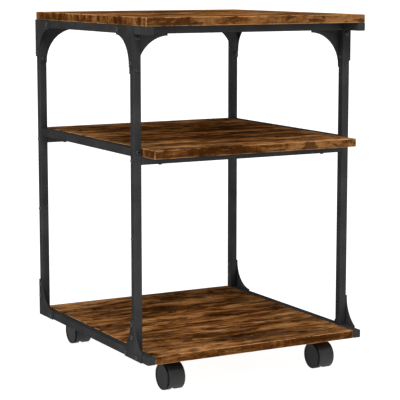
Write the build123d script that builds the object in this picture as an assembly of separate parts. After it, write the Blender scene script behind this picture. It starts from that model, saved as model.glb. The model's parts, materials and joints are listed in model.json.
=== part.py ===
"""Mobile printer stand: three boards on a bolted square-tube frame that rolls on four
twin-wheel swivel casters.

Units are millimetres. The origin is on the floor, under the middle of the stand: +X to
the right seen from the front, +Y to the back, +Z up. Every sub-part goes to its own
STEP file in parts/.
"""

from build123d import *
from collections import namedtuple
import math
import os

# ------------------------------------------------------------------ driving sizes
# Whole stand
stand_width = 450.0          # over the top board and the side rails
stand_depth = 480.0          # over the boards and the full-length rails
stand_height = 665.0         # floor to the upper face of the top board
middle_board_drop = 228.0    # upper face of the stand down to that of the middle board
front_post_setback = 49.0    # front edge of the boards back to the front posts

# Boards
board_thickness = 15.0
board_edge_radius = 1.0      # eased edge of the laminated board
board_side_gap = 0.75        # between an inner board's edge and the side rail

# Square tube
tube = 15.0
tube_wall = 1.2
tube_corner = 1.6
weld_plate = 2.5             # tapped plate welded inside each end of a bolted rail
post_joint_height = 285.0    # floor to the joint between lower and upper posts
sleeve_length = 80.0
sleeve_gap = 0.1             # sleeve to the inside of the post, each side

# End caps
cap_flange = 1.5
cap_plug = 9.0
cap_gap = 0.1
cap_round = 0.75

# Gusset plates
plate = 2.0
side_reach = 50.0            # top and rear gussets: length along the rail past the post
side_drop = 57.0             # and length along the post past the rail
side_step = 2.0              # height of the blunt tip where the arc ends on the rail
cross_reach = 60.0
cross_drop = 69.0
cross_step = 4.0
gusset_tip = 3.0             # straight stretch on the post past the end of the arc
foot_drop = 57.0             # bottom front gusset, which flares both ways
foot_front_reach = 28.0
foot_rear_reach = 24.0

# Bolts (M5, button head); a gusset's bolts run in threads cut through the tube
bolt_radius = 2.5
bolt_hole_gap = 0.2
thread_gap = 0.05
hole_past_tip = 0.5
head_radius = 4.5
head_height = 2.6
head_round = 1.8
socket_flats = 3.0
socket_depth = 1.6
bolt_past_wall = 1.0         # end of a bolt past the last wall it passes
bolt_in_plate = 8.0          # length of a rail bolt past the post
short_bolt = 9.0             # grips a tapped tube wall only
joint_bolt = 6.0             # through a post's wall into its sleeve
joint_bolt_drop = 10.0       # post joint down to that bolt

# Wood screws, pan head
screw_radius = 1.9
screw_head_radius = 3.8
screw_head_height = 2.0
screw_head_round = 1.2
screw_tip_radius = 0.3
screw_slot = 1.0
screw_in_board = 10.0        # up into a board's face
screw_in_edge = 22.0         # into a board's edge

# Where the bolts and screws sit
rail_bolt_reach = 43.0       # post face to the bolt in the rail
side_bolt_drop = 50.0        # rail to the bolt low on the side gusset
foot_bolt_drops = (25.0, 48.0)
foot_front_bolt = 12.0       # post face to the screws in the bottom rail
foot_rear_bolt = 17.5
cross_bolt_drops = (6.5, 62.0)
cross_rail_bolt = 46.0
board_screw_inset = 40.0     # post to the screw under the middle board
top_screw_spacing = 200.0    # between the screws in each top crossbar
access_gap = 0.7             # round a screw head that goes in through the lower wall

# Casters
wheel_radius = 24.5
wheel_width = 14.0
wheel_gap = 8.0              # between the two wheels of a caster
wheel_edge = 2.0
wheel_face_dish = 0.6
wheel_rim = 3.5              # flat rim around the dished outer face
wheel_recess = 8.0           # depth of the hollow on the inner face
wheel_hub_radius = 7.0
wheel_shell = 4.0            # thickness of the tread ring round that hollow
caster_trail = 18.0          # swivel axis behind the wheel axis
caster_side_inset = 66.0     # side of the stand to the swivel axis
front_caster_inset = 59.0    # front of the stand to the front swivel axes
rear_caster_inset = 21.0     # back of the stand to the rear swivel axes
axle_radius = 3.0
axle_run_gap = 0.08
axle_end_cover = 1.5         # wheel material past the end of the axle
axle_end_gap = 0.2
axle_chamfer = 0.5
hood_gap = 0.8               # wheel tread to the inside of the hood
hood_wall = 1.7
hood_top_gap = 3.5           # hood to the bearing race above it
hood_width = 30.0
hood_edge = 0.8
hood_front_angle = -40.0     # degrees above the axle level where the hood ends in front
hood_back_angle = 165.0
web_gap = 1.0                # central web to each wheel
web_floor_gap = 7.0          # central web to the floor
boss_radius = 9.0
swivel_gap = 0.5
kingpin_radius = 4.0
kingpin_run_gap = 0.06
kingpin_length = 7.0         # inside the hood's boss
kingpin_ring = 0.7
kingpin_ring_gap = 0.3
kingpin_ring_height = 1.2
caster_plate_size = 34.0
caster_plate = 2.0
caster_plate_corner = 4.0
race_radius = 11.0
race_height = 2.0
race_round = 0.8
caster_screw_spacing = 25.0
caster_screw_length = 10.0

# ------------------------------------------------------------------ derived places
half_width = stand_width / 2
half_depth = stand_depth / 2
half_tube = tube / 2
tube_inside = tube - 2 * tube_wall

# floor to the underside of the bottom board: wheel, hood, race and plate
hood_stack = hood_gap + hood_wall + hood_top_gap
caster_height = 2 * wheel_radius + hood_stack + race_height + caster_plate
top_board_z = stand_height - board_thickness
top_rail_z = top_board_z - tube
middle_board_z = stand_height - middle_board_drop - board_thickness
middle_bar_z = middle_board_z - tube
bottom_rail_top = caster_height + tube

post_x = half_width - half_tube
inner_x = half_width - tube
front_post_y = -half_depth + front_post_setback + half_tube
rear_post_y = half_depth - half_tube

SIDES = {"left": -1, "right": 1}
ENDS = {"front": front_post_y, "rear": rear_post_y}

Fixing = namedtuple("Fixing", "seat drive length radius")

os.makedirs("parts", exist_ok=True)


def save(name, shape):
    """Write one sub-part to parts/."""
    export_step(shape, f"parts/{name}.step")


def inward_of(end):
    """Y direction from a post into the stand: back from the front posts."""
    return 1 if end == "front" else -1


# ------------------------------------------------------------------ fixings
def fixing(seat, drive, length, radius=bolt_radius):
    """A bolt or screw: the point under its head, the way it is driven, its length."""
    return Fixing(Vector(*seat), Vector(*drive), length, radius)


def head_plane(item):
    """Plane under the head, with its normal pointing out of the material."""
    return Plane(origin=item.seat, z_dir=-item.drive)


def bolt_solid(item):
    """Button-head bolt with a hexagon socket."""
    shank = extrude(Circle(bolt_radius), amount=-item.length)
    head = extrude(Circle(head_radius), amount=head_height)
    rim = head.edges().sort_by(Axis.Z)[-1]
    head = fillet(rim, head_round)
    socket_sketch = Pos(0, 0, head_height) * RegularPolygon(socket_flats / 2, 6, major_radius=False)
    socket = extrude(socket_sketch, amount=-socket_depth)
    return head_plane(item).location * (head + shank - socket)


def screw_solid(item):
    """Pan-head wood screw with a cross recess and a pointed tip."""
    tip = 2 * screw_radius
    shank = extrude(Circle(screw_radius), amount=-(item.length - tip))
    point = Pos(0, 0, -item.length + tip / 2) * Cone(screw_tip_radius, screw_radius, tip)
    head = extrude(Circle(screw_head_radius), amount=screw_head_height)
    head = fillet(head.edges().sort_by(Axis.Z)[-1], screw_head_round)
    slot = Box(screw_head_radius * 1.1, screw_slot, screw_slot)
    cross = Pos(0, 0, screw_head_height - screw_slot / 2) * (slot + Rot(0, 0, 90) * slot)
    return head_plane(item).location * (head + shank + point - cross)


def cutter(item, gap):
    """Hole for a fixing: its shank and a clearance, a little past its tip."""
    depth = item.length + 2 * hole_past_tip
    hole = Pos(0, 0, hole_past_tip) * extrude(Circle(item.radius + gap), amount=-depth)
    return head_plane(item).location * hole


def passes(item, box):
    """Whether a fixing's shank reaches into a bounding box."""
    tip = item.seat + item.drive * item.length
    return all(
        min(a, b) - item.radius < high and max(a, b) + item.radius > low
        for a, b, low, high in zip(item.seat, tip, box.min, box.max)
    )


def drilled(piece, items, gap=bolt_hole_gap):
    """A piece with a hole for each fixing that passes through it."""
    box = piece.bounding_box()
    holes = [cutter(item, gap) for item in items if passes(item, box)]
    return piece - holes if holes else piece


def through_length(*layers):
    """Length of a bolt that passes through some layers."""
    return sum(layers) + bolt_past_wall


def side_gusset_bolts():
    """Through bolts of the gussets in the side planes, driven inwards."""
    bolts = []
    length = through_length(plate, tube)
    for side in SIDES.values():
        seat_x = side * (half_width + plate)
        for end, post_y in ENDS.items():
            rail_y = post_y + inward_of(end) * (half_tube + rail_bolt_reach)
            places = [(post_y, top_rail_z - side_bolt_drop), (rail_y, top_rail_z + half_tube)]
            places += [(post_y, bottom_rail_top + drop) for drop in foot_bolt_drops]
            bolts += [fixing((seat_x, y, z), (-side, 0, 0), length) for y, z in places]
    return bolts


def cross_gusset_bolts():
    """Bolts of the gussets in the front and rear planes."""
    bolts = []
    for side in SIDES.values():
        for drop in cross_bolt_drops:
            z = top_rail_z - drop
            front_seat = (side * post_x, front_post_y - half_tube, z)
            bolts.append(fixing(front_seat, (0, 1, 0), through_length(tube, plate)))
            rear_seat = (side * post_x, rear_post_y - half_tube - plate, z)
            bolts.append(fixing(rear_seat, (0, 1, 0), short_bolt))
        rail_x = side * (inner_x - cross_rail_bolt)
        rail_z = top_rail_z + half_tube
        behind_front = (rail_x, front_post_y + half_tube + plate, rail_z)
        before_rear = (rail_x, rear_post_y - half_tube - plate, rail_z)
        bolts.append(fixing(behind_front, (0, -1, 0), short_bolt))
        bolts.append(fixing(before_rear, (0, 1, 0), short_bolt))
    return bolts


def rail_end_bolts():
    """Bolts through the posts into the ends of the middle rails and crossbars."""
    bolts = []
    length = tube + bolt_in_plate
    for side in SIDES.values():
        for end, post_y in ENDS.items():
            way = inward_of(end)
            rail_seat = (side * post_x, post_y - way * half_tube, middle_board_z + half_tube)
            bolts.append(fixing(rail_seat, (0, way, 0), length))
            bar_seat = (side * half_width, post_y, middle_bar_z + half_tube)
            bolts.append(fixing(bar_seat, (-side, 0, 0), length))
    return bolts


def post_joint_bolts():
    """One short bolt through each lower post into its sleeve."""
    z = post_joint_height - joint_bolt_drop
    return [
        fixing((side * half_width, post_y, z), (-side, 0, 0), joint_bolt)
        for side in SIDES.values()
        for post_y in ENDS.values()
    ]


def board_screws():
    """Wood screws that hold the middle and bottom boards."""
    screws = []
    up_length = tube + screw_in_board
    edge_length = plate + tube + board_side_gap + screw_in_edge
    foot_ys = (
        front_post_y + half_tube + foot_rear_bolt,
        front_post_y - half_tube - foot_front_bolt,
        rear_post_y - half_tube - rail_bolt_reach,
    )
    for side in SIDES.values():
        for post_y in ENDS.values():
            under_middle = (side * (inner_x - board_screw_inset), post_y, middle_bar_z)
            screws.append(fixing(under_middle, (0, 0, 1), up_length, screw_radius))
        for y in foot_ys:
            seat = (side * (half_width + plate), y, caster_height + half_tube)
            screws.append(fixing(seat, (-side, 0, 0), edge_length, screw_radius))
    return screws


def hidden_screws():
    """Wood screws into the top board, each with its head inside the tube under it."""
    z = top_rail_z + tube - tube_wall
    places = [
        (side * top_screw_spacing / 2, post_y) for side in SIDES.values() for post_y in ENDS.values()
    ]
    places += [(side * post_x, (front_post_y + rear_post_y) / 2) for side in SIDES.values()]
    length = tube_wall + screw_in_board
    return [fixing((x, y, z), (0, 0, 1), length, screw_radius) for x, y in places]


def reached(piece, items):
    """A tube with a hole in its far wall for the head of each hidden screw."""
    box = piece.bounding_box()
    way_in = extrude(Circle(screw_head_radius + access_gap), amount=tube)
    holes = [head_plane(item).location * way_in for item in items if passes(item, box)]
    return piece - holes if holes else piece


# ------------------------------------------------------------------ tube pieces
def tube_section(outside, wall, corner):
    """Square tube's cross-section with rounded corners."""
    inside = outside - 2 * wall
    return RectangleRounded(outside, outside, corner) - RectangleRounded(inside, inside, corner - wall)


def tube_run(start, end, outside=tube, wall=tube_wall, corner=tube_corner):
    """Straight square tube between two points on its axis."""
    start, end = Vector(*start), Vector(*end)
    run = end - start
    square = Vector(0, 0, 1) if abs(run.Z) < 1 else Vector(1, 0, 0)
    plane = Plane(origin=start, x_dir=square, z_dir=run.normalized())
    return extrude(plane * tube_section(outside, wall, corner), amount=run.length)


def end_plates(start, end):
    """Plates welded inside both ends of a tube, flush with its ends."""
    start, end = Vector(*start), Vector(*end)
    run = (end - start).normalized()
    square = Vector(0, 0, 1)
    sketch = RectangleRounded(tube_inside, tube_inside, tube_corner - tube_wall)
    first = extrude(Plane(origin=start, x_dir=square, z_dir=run) * sketch, amount=weld_plate)
    last = extrude(Plane(origin=end, x_dir=square, z_dir=-run) * sketch, amount=weld_plate)
    return first, last


def bolted_rail(start, end, bolts, screws):
    """Rail that bolts up between two posts: a tube with a tapped plate in each end."""
    rail = tube_run(start, end)
    for end_plate in end_plates(start, end):
        rail = rail + end_plate
    return drilled(drilled(rail, bolts, thread_gap), screws)


def end_cap(x, z, facing):
    """Plastic cap in the open end of a full-length rail; facing is -1 at the front."""
    plane = Plane(origin=(x, facing * half_depth, z), x_dir=(1, 0, 0), z_dir=(0, -facing, 0))
    flange = extrude(plane * RectangleRounded(tube, tube, tube_corner), amount=cap_flange)
    flange = fillet(flange.faces().sort_by(Axis.Y)[0 if facing < 0 else -1].edges(), cap_round)
    plug_size = tube_inside - 2 * cap_gap
    plug_plane = plane.offset(cap_flange)
    plug_sketch = RectangleRounded(plug_size, plug_size, tube_corner - tube_wall)
    return flange + extrude(plug_plane * plug_sketch, amount=cap_plug)


# ------------------------------------------------------------------ gussets
def flare(side, reach, drop, step):
    """Ends and arc of a gusset's flare, from its post strip down to its tip on the rail."""
    arc_top = (side, drop - gusset_tip)
    tip = (side + math.copysign(reach, side), step)
    return arc_top, tip, TangentArc(arc_top, tip, tangent=(0, -1))


def corner_gusset_face(reach, drop, step, strip):
    """Gusset that flares one way. The post strip is `strip` wide and ends at u = 0;
    the rail strip lies below v = 0."""
    arc_top, tip, arc = flare(0.0, reach, drop, step)
    rim = Polyline(arc_top, (0, drop), (-strip, drop), (-strip, -tube), (reach, -tube), tip)
    return make_face(rim + arc)


def notched_gusset_face(reach, drop, step, strip):
    """As the corner gusset, with the corner over the side rail cut away."""
    notch = Pos(-strip / 2, -tube / 2) * Rectangle(strip, tube)
    return corner_gusset_face(reach, drop, step, strip) - notch


def foot_gusset_face():
    """Gusset that flares both ways from a post on the bottom rail."""
    front_top, front_tip, front_arc = flare(half_tube, foot_front_reach, foot_drop, side_step)
    rear_top, rear_tip, rear_arc = flare(-half_tube, foot_rear_reach, foot_drop, side_step)
    rim = Polyline(front_top, (half_tube, foot_drop), (-half_tube, foot_drop), rear_top)
    base = Polyline(rear_tip, (rear_tip[0], -tube), (front_tip[0], -tube), front_tip)
    return make_face(rim + rear_arc + base + front_arc)


def plate_from(face, corner, along, away, outward):
    """Sheet-metal plate: its outline's u runs along the rail, its v along the post."""
    along, away, outward = Vector(*along), Vector(*away), Vector(*outward)
    normal = along.cross(away)
    plane = Plane(origin=Vector(*corner), x_dir=along, z_dir=normal)
    amount = plate if normal.dot(outward) > 0 else -plate
    return extrude(plane * face, amount=amount)


def top_side_gusset(side, end, bolts):
    """Gusset outside a post and the top side rail."""
    way = inward_of(end)
    corner = (side * half_width, ENDS[end] + way * half_tube, top_rail_z)
    face = corner_gusset_face(side_reach, side_drop, side_step, tube)
    return drilled(plate_from(face, corner, (0, way, 0), (0, 0, -1), (side, 0, 0)), bolts)


def bottom_gusset(side, end, bolts, screws):
    """Gusset outside a post and the bottom side rail."""
    way = inward_of(end)
    if end == "front":
        corner = (side * half_width, ENDS[end], bottom_rail_top)
        face, along = foot_gusset_face(), (0, -1, 0)
    else:
        corner = (side * half_width, ENDS[end] + way * half_tube, bottom_rail_top)
        face, along = corner_gusset_face(side_reach, side_drop, side_step, tube), (0, way, 0)
    piece = plate_from(face, corner, along, (0, 0, 1), (side, 0, 0))
    return drilled(drilled(piece, bolts), screws)


def cross_gusset(side, end, bolts):
    """Gusset on the inner face of a post and the top crossbar."""
    way = inward_of(end)
    corner = (side * inner_x, ENDS[end] + way * half_tube, top_rail_z)
    face = notched_gusset_face(cross_reach, cross_drop, cross_step, tube)
    return drilled(plate_from(face, corner, (-side, 0, 0), (0, 0, -1), (0, way, 0)), bolts)


# ------------------------------------------------------------------ boards
def board(width, z, screws):
    """Laminated board with eased edges and pilot holes for its screws."""
    body = Pos(0, 0, z + board_thickness / 2) * Box(width, stand_depth, board_thickness)
    return drilled(fillet(body.edges(), board_edge_radius), screws, thread_gap)


# ------------------------------------------------------------------ casters
def caster_plate_solid():
    """Mounting plate with its pressed bearing race; the top face is at z = 0."""
    body = extrude(RectangleRounded(*[caster_plate_size] * 2, caster_plate_corner), amount=-caster_plate)
    race = Pos(0, 0, -caster_plate) * extrude(Circle(race_radius), amount=-race_height)
    race = fillet(race.edges().sort_by(Axis.Z)[0], race_round)
    pin_hole = Cylinder(kingpin_radius, 4 * (caster_plate + race_height))
    return body + race - pin_hole


def kingpin_solid():
    """Riveted pivot pin with the ring that holds the hood."""
    top = caster_plate + race_height
    length = top + swivel_gap + kingpin_length
    pin = extrude(Circle(kingpin_radius), amount=-length)
    ring_z = -(top + swivel_gap + kingpin_length / 2)
    ring = Pos(0, 0, ring_z) * Cylinder(kingpin_radius + kingpin_ring, kingpin_ring_height)
    return pin + ring


def along_x(shape_radius, low, high, at=(0, 0)):
    """Cylinder along X between two x values, centred at a (y, z) place."""
    middle = Pos((low + high) / 2, at[0], at[1]) * Rot(0, 90, 0)
    return middle * Cylinder(shape_radius, high - low)


def hood_solid(axle):
    """Swivelling hood: a central web, a fender over both wheels and the pivot boss."""
    inner = wheel_radius + hood_gap
    outer = inner + hood_wall
    web_half = wheel_gap / 2 - web_gap
    boss_top = -(caster_plate + race_height + swivel_gap)
    shell = along_x(outer, -hood_width / 2, hood_width / 2, axle)
    shell = fillet(shell.edges().filter_by(GeomType.CIRCLE), hood_edge)
    web = along_x(inner + hood_wall / 2, -web_half, web_half, axle)
    hollow = along_x(inner, -hood_width, hood_width, axle)
    front, back = math.radians(hood_front_angle), math.radians(hood_back_angle)
    far = 3 * outer
    directions = [front + (back - front) * step / 4 for step in range(5)]
    corners = [(axle[0] - far * math.cos(a), axle[1] + far * math.sin(a)) for a in directions]
    wedge_face = make_face(Plane.YZ * Polyline(axle, *corners, close=True))
    wedge = extrude(wedge_face, amount=hood_width, both=True)
    fender = (shell - hollow) & wedge
    web_disc = along_x(wheel_radius - web_floor_gap, -web_half, web_half, axle)
    boss_depth = -boss_top - axle[1] - axle_radius
    boss = Pos(0, 0, boss_top) * extrude(Circle(boss_radius), amount=-boss_depth)
    wheel_room = hollow - Box(2 * web_half, 4 * outer, 4 * outer)
    return fender + (web & wedge) + web_disc + (boss - wheel_room)


def caster_hood(axle):
    """Hood with its axle bore and pivot socket."""
    body = hood_solid(axle)
    axle_bore = along_x(axle_radius, -wheel_gap, wheel_gap, axle)
    top = caster_plate + race_height + swivel_gap
    socket_radius = kingpin_radius + kingpin_run_gap
    pivot_depth = kingpin_length + swivel_gap
    socket = Pos(0, 0, -top) * extrude(Circle(socket_radius), amount=-pivot_depth)
    groove_height = kingpin_ring_height + 2 * kingpin_ring_gap
    groove_radius = kingpin_radius + kingpin_ring + kingpin_ring_gap
    groove = Pos(0, 0, -(top + kingpin_length / 2)) * Cylinder(groove_radius, groove_height)
    return body - axle_bore - socket - groove


def wheel_solid(side, axle):
    """One wheel, on the given side of the web: dished face outside, hollow inside."""
    inner_face, outer_face = wheel_gap / 2, wheel_gap / 2 + wheel_width
    disc = along_x(wheel_radius, inner_face, outer_face, axle)
    rims = disc.edges().filter_by(GeomType.CIRCLE).sort_by(Axis.X)
    disc = fillet([rims[0], rims[-1]], wheel_edge)
    dish = along_x(wheel_radius - wheel_edge - wheel_rim, outer_face - wheel_face_dish, outer_face, axle)
    bore_end = outer_face - axle_end_cover - wheel_face_dish + axle_end_gap
    bore = along_x(axle_radius + axle_run_gap, inner_face, bore_end, axle)
    hollow = along_x(wheel_radius - wheel_shell, inner_face, inner_face + wheel_recess, axle)
    hub = along_x(wheel_hub_radius, inner_face, inner_face + wheel_recess, axle)
    wheel = disc - dish - (hollow - hub) - bore
    return wheel if side > 0 else mirror(wheel, about=Plane.YZ)


def axle_solid(axle):
    """Steel axle across both wheels, with eased ends."""
    reach = wheel_gap / 2 + wheel_width - axle_end_cover - wheel_face_dish
    pin = along_x(axle_radius, -reach, reach, axle)
    return chamfer(pin.edges().filter_by(GeomType.CIRCLE), axle_chamfer)


def caster_places():
    """Name and swivel-axis place of each caster."""
    x = half_width - caster_side_inset
    ys = {"front": -half_depth + front_caster_inset, "rear": half_depth - rear_caster_inset}
    return {
        f"{end}_{side}": (sign * x, y)
        for end, y in ys.items()
        for side, sign in SIDES.items()
    }


def caster_screws():
    """Four screws through each mounting plate into the bottom board."""
    half = caster_screw_spacing / 2
    length = caster_plate + caster_screw_length
    return [
        fixing((x + dx, y + dy, caster_height - caster_plate), (0, 0, 1), length, screw_radius)
        for x, y in caster_places().values()
        for dx in (-half, half)
        for dy in (-half, half)
    ]


# ------------------------------------------------------------------ building and saving
def build_frame(bolts, screws, hidden):
    """Rails, crossbars, posts and what joins them."""
    for side_name, side in SIDES.items():
        x = side * post_x
        for level, z in (("top", top_rail_z), ("bottom", caster_height)):
            ends = [(x, sign * (half_depth - cap_flange), z + half_tube) for sign in (-1, 1)]
            rail = drilled(tube_run(*ends), bolts, thread_gap)
            save(f"{side_name}_{level}_rail", reached(drilled(rail, screws + hidden), hidden))
        ends = [(x, post_y + inward_of(end) * half_tube, middle_board_z + half_tube)
                for end, post_y in ENDS.items()]
        save(f"{side_name}_middle_rail", bolted_rail(*ends, bolts, []))
    for end, post_y in ENDS.items():
        top = [(sign * inner_x, post_y, top_rail_z + half_tube) for sign in (-1, 1)]
        bar = drilled(drilled(tube_run(*top), bolts, thread_gap), hidden)
        save(f"{end}_top_crossbar", reached(bar, hidden))
        middle = [(sign * inner_x, post_y, middle_bar_z + half_tube) for sign in (-1, 1)]
        save(f"{end}_middle_crossbar", bolted_rail(*middle, bolts, screws))


def build_posts(threaded, passing):
    """Posts in two lengths, with a sleeve inside each joint."""
    sleeve_size = tube_inside - 2 * sleeve_gap
    sleeves = []
    for end, y in ENDS.items():
        for side_name, side in SIDES.items():
            x = side * post_x
            lower = tube_run((x, y, bottom_rail_top), (x, y, post_joint_height))
            upper = tube_run((x, y, post_joint_height), (x, y, top_rail_z))
            for part, post in (("lower", lower), ("upper", upper)):
                threads = drilled(post, threaded, thread_gap)
                save(f"{end}_{side_name}_{part}_post", drilled(threads, passing))
            low = (x, y, post_joint_height - sleeve_length / 2)
            high = (x, y, post_joint_height + sleeve_length / 2)
            sleeve = tube_run(low, high, sleeve_size)
            sleeves.append(drilled(sleeve, passing, thread_gap))
    save("post_sleeves", Compound(children=sleeves))


def build_gussets(bolts, screws):
    """Twelve gusset plates: two at the top of each post and one at its foot."""
    for end in ENDS:
        for side_name, side in SIDES.items():
            save(f"{end}_{side_name}_top_side_gusset", top_side_gusset(side, end, bolts))
            save(f"{end}_{side_name}_top_cross_gusset", cross_gusset(side, end, bolts))
            save(f"{end}_{side_name}_bottom_gusset", bottom_gusset(side, end, bolts, screws))


def build_end_caps():
    """Caps of the four full-length rails."""
    caps = [
        end_cap(side * post_x, z + half_tube, facing)
        for side in SIDES.values()
        for z in (top_rail_z, caster_height)
        for facing in (-1, 1)
    ]
    save("rail_end_caps", Compound(children=caps))


def build_boards(screws, plate_screws):
    """The three boards; the two lower ones fit between the side rails."""
    inner_width = stand_width - 2 * (tube + board_side_gap)
    save("top_board", board(stand_width, top_board_z, screws))
    save("middle_board", board(inner_width, middle_board_z, screws))
    save("bottom_board", board(inner_width, caster_height, screws + plate_screws))


def build_casters(plate_screws):
    """Each caster's plate, hood, axle and two wheels, and the four kingpins."""
    axle = (-caster_trail, wheel_radius - caster_height)
    kingpins = []
    for name, (x, y) in caster_places().items():
        place = Pos(x, y, caster_height)
        save(f"{name}_caster_plate", drilled(place * caster_plate_solid(), plate_screws))
        save(f"{name}_caster_hood", place * caster_hood(axle))
        save(f"{name}_caster_axle", place * axle_solid(axle))
        for wheel_name, side in SIDES.items():
            save(f"{name}_caster_{wheel_name}_wheel", place * wheel_solid(side, axle))
        kingpins.append(place * kingpin_solid())
    save("caster_kingpins", Compound(children=kingpins))


def build_fixings(bolts, screws, plate_screws):
    """Bolts and screws, each kind in one file."""
    save("frame_bolts", Compound(children=[bolt_solid(item) for item in bolts]))
    save("board_screws", Compound(children=[screw_solid(item) for item in screws]))
    save("caster_screws", Compound(children=[screw_solid(item) for item in plate_screws]))


def main():
    """Build the whole stand."""
    threaded = side_gusset_bolts() + cross_gusset_bolts()
    passing = rail_end_bolts() + post_joint_bolts()
    bolts = threaded + passing
    screws = board_screws()
    hidden = hidden_screws()
    plate_screws = caster_screws()
    build_frame(bolts, screws, hidden)
    build_posts(threaded, passing)
    build_gussets(bolts, screws)
    build_end_caps()
    build_boards(screws + hidden, plate_screws)
    build_casters(plate_screws)
    build_fixings(bolts, screws + hidden, plate_screws)


main()
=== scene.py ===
"""Mobile printer stand: oak-look boards in a black square-tube frame on twin-wheel casters.

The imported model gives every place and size. Boards, tubes, gussets, fixings, wheels and
hoods are rebuilt here as finished meshes; the other parts of the model keep their shape
and get their finish.
"""

import json
import logging
import math
from dataclasses import dataclass
from enum import Enum
from typing import Iterable, Sequence

import bmesh
import bpy
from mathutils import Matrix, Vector

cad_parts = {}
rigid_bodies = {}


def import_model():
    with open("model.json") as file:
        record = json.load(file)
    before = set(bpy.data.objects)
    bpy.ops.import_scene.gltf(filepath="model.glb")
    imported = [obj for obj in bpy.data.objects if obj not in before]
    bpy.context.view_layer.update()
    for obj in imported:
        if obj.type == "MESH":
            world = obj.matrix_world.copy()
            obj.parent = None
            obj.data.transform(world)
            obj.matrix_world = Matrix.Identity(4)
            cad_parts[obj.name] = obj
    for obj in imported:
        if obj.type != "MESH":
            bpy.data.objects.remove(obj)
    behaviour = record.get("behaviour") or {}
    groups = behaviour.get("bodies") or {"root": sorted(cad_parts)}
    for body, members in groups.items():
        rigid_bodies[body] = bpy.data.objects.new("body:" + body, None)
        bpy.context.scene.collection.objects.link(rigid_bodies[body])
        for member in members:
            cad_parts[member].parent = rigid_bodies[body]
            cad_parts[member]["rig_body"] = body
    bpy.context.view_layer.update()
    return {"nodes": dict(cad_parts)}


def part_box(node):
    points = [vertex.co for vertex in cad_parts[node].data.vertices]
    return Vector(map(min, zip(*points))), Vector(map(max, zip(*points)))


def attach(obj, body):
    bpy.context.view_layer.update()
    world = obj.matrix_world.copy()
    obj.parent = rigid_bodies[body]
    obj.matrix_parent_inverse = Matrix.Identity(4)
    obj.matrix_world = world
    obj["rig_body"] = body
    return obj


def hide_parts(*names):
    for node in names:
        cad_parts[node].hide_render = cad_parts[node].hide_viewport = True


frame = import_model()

MM = 0.001
WELD = 1e-6
BEVEL_FROM_DEGREES = 40
FLAT_DEGREES = 0.5
LOG = logging.getLogger("printer_stand")

Socket = bpy.types.NodeSocket
Piece = bpy.types.Object
Material = bpy.types.Material
NodeTree = bpy.types.NodeTree
Value = Socket | float | int | bool | Sequence[float] | None
Triple = tuple[float, float, float]
Outline = list[tuple[float, float]]


class Side(Enum):
    """Left and right, with the sign of X."""

    LEFT = -1
    RIGHT = 1


class End(Enum):
    """Front and rear, with the sign of Y."""

    FRONT = -1
    REAR = 1


class Recess(Enum):
    """What a driver fits in a fixing's head."""

    HEXAGON = "hexagon"
    CROSS = "cross"


# ------------------------------------------------------------------ node graphs
class Graph:
    """A node tree and the calls that fill it."""

    def __init__(self, tree: NodeTree) -> None:
        """Start from an empty tree."""
        self.tree = tree
        tree.nodes.clear()

    def add(self, kind: str, inputs: dict | None = None, **settings: object) -> bpy.types.Node:
        """Add one node.

        Args:
            kind: The node's type name.
            inputs: Input names or numbers, each with a value or a socket to link from.
            **settings: Properties of the node itself.

        Returns:
            The new node.
        """
        node = self.tree.nodes.new(kind)
        for name, value in settings.items():
            setattr(node, name, value)
        for key, value in (inputs or {}).items():
            if isinstance(value, Socket):
                self.tree.links.new(value, node.inputs[key])
            elif value is not None:
                node.inputs[key].default_value = value
        return node

    def link(self, start: Socket, end: Socket) -> None:
        """Link two sockets."""
        self.tree.links.new(start, end)


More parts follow.
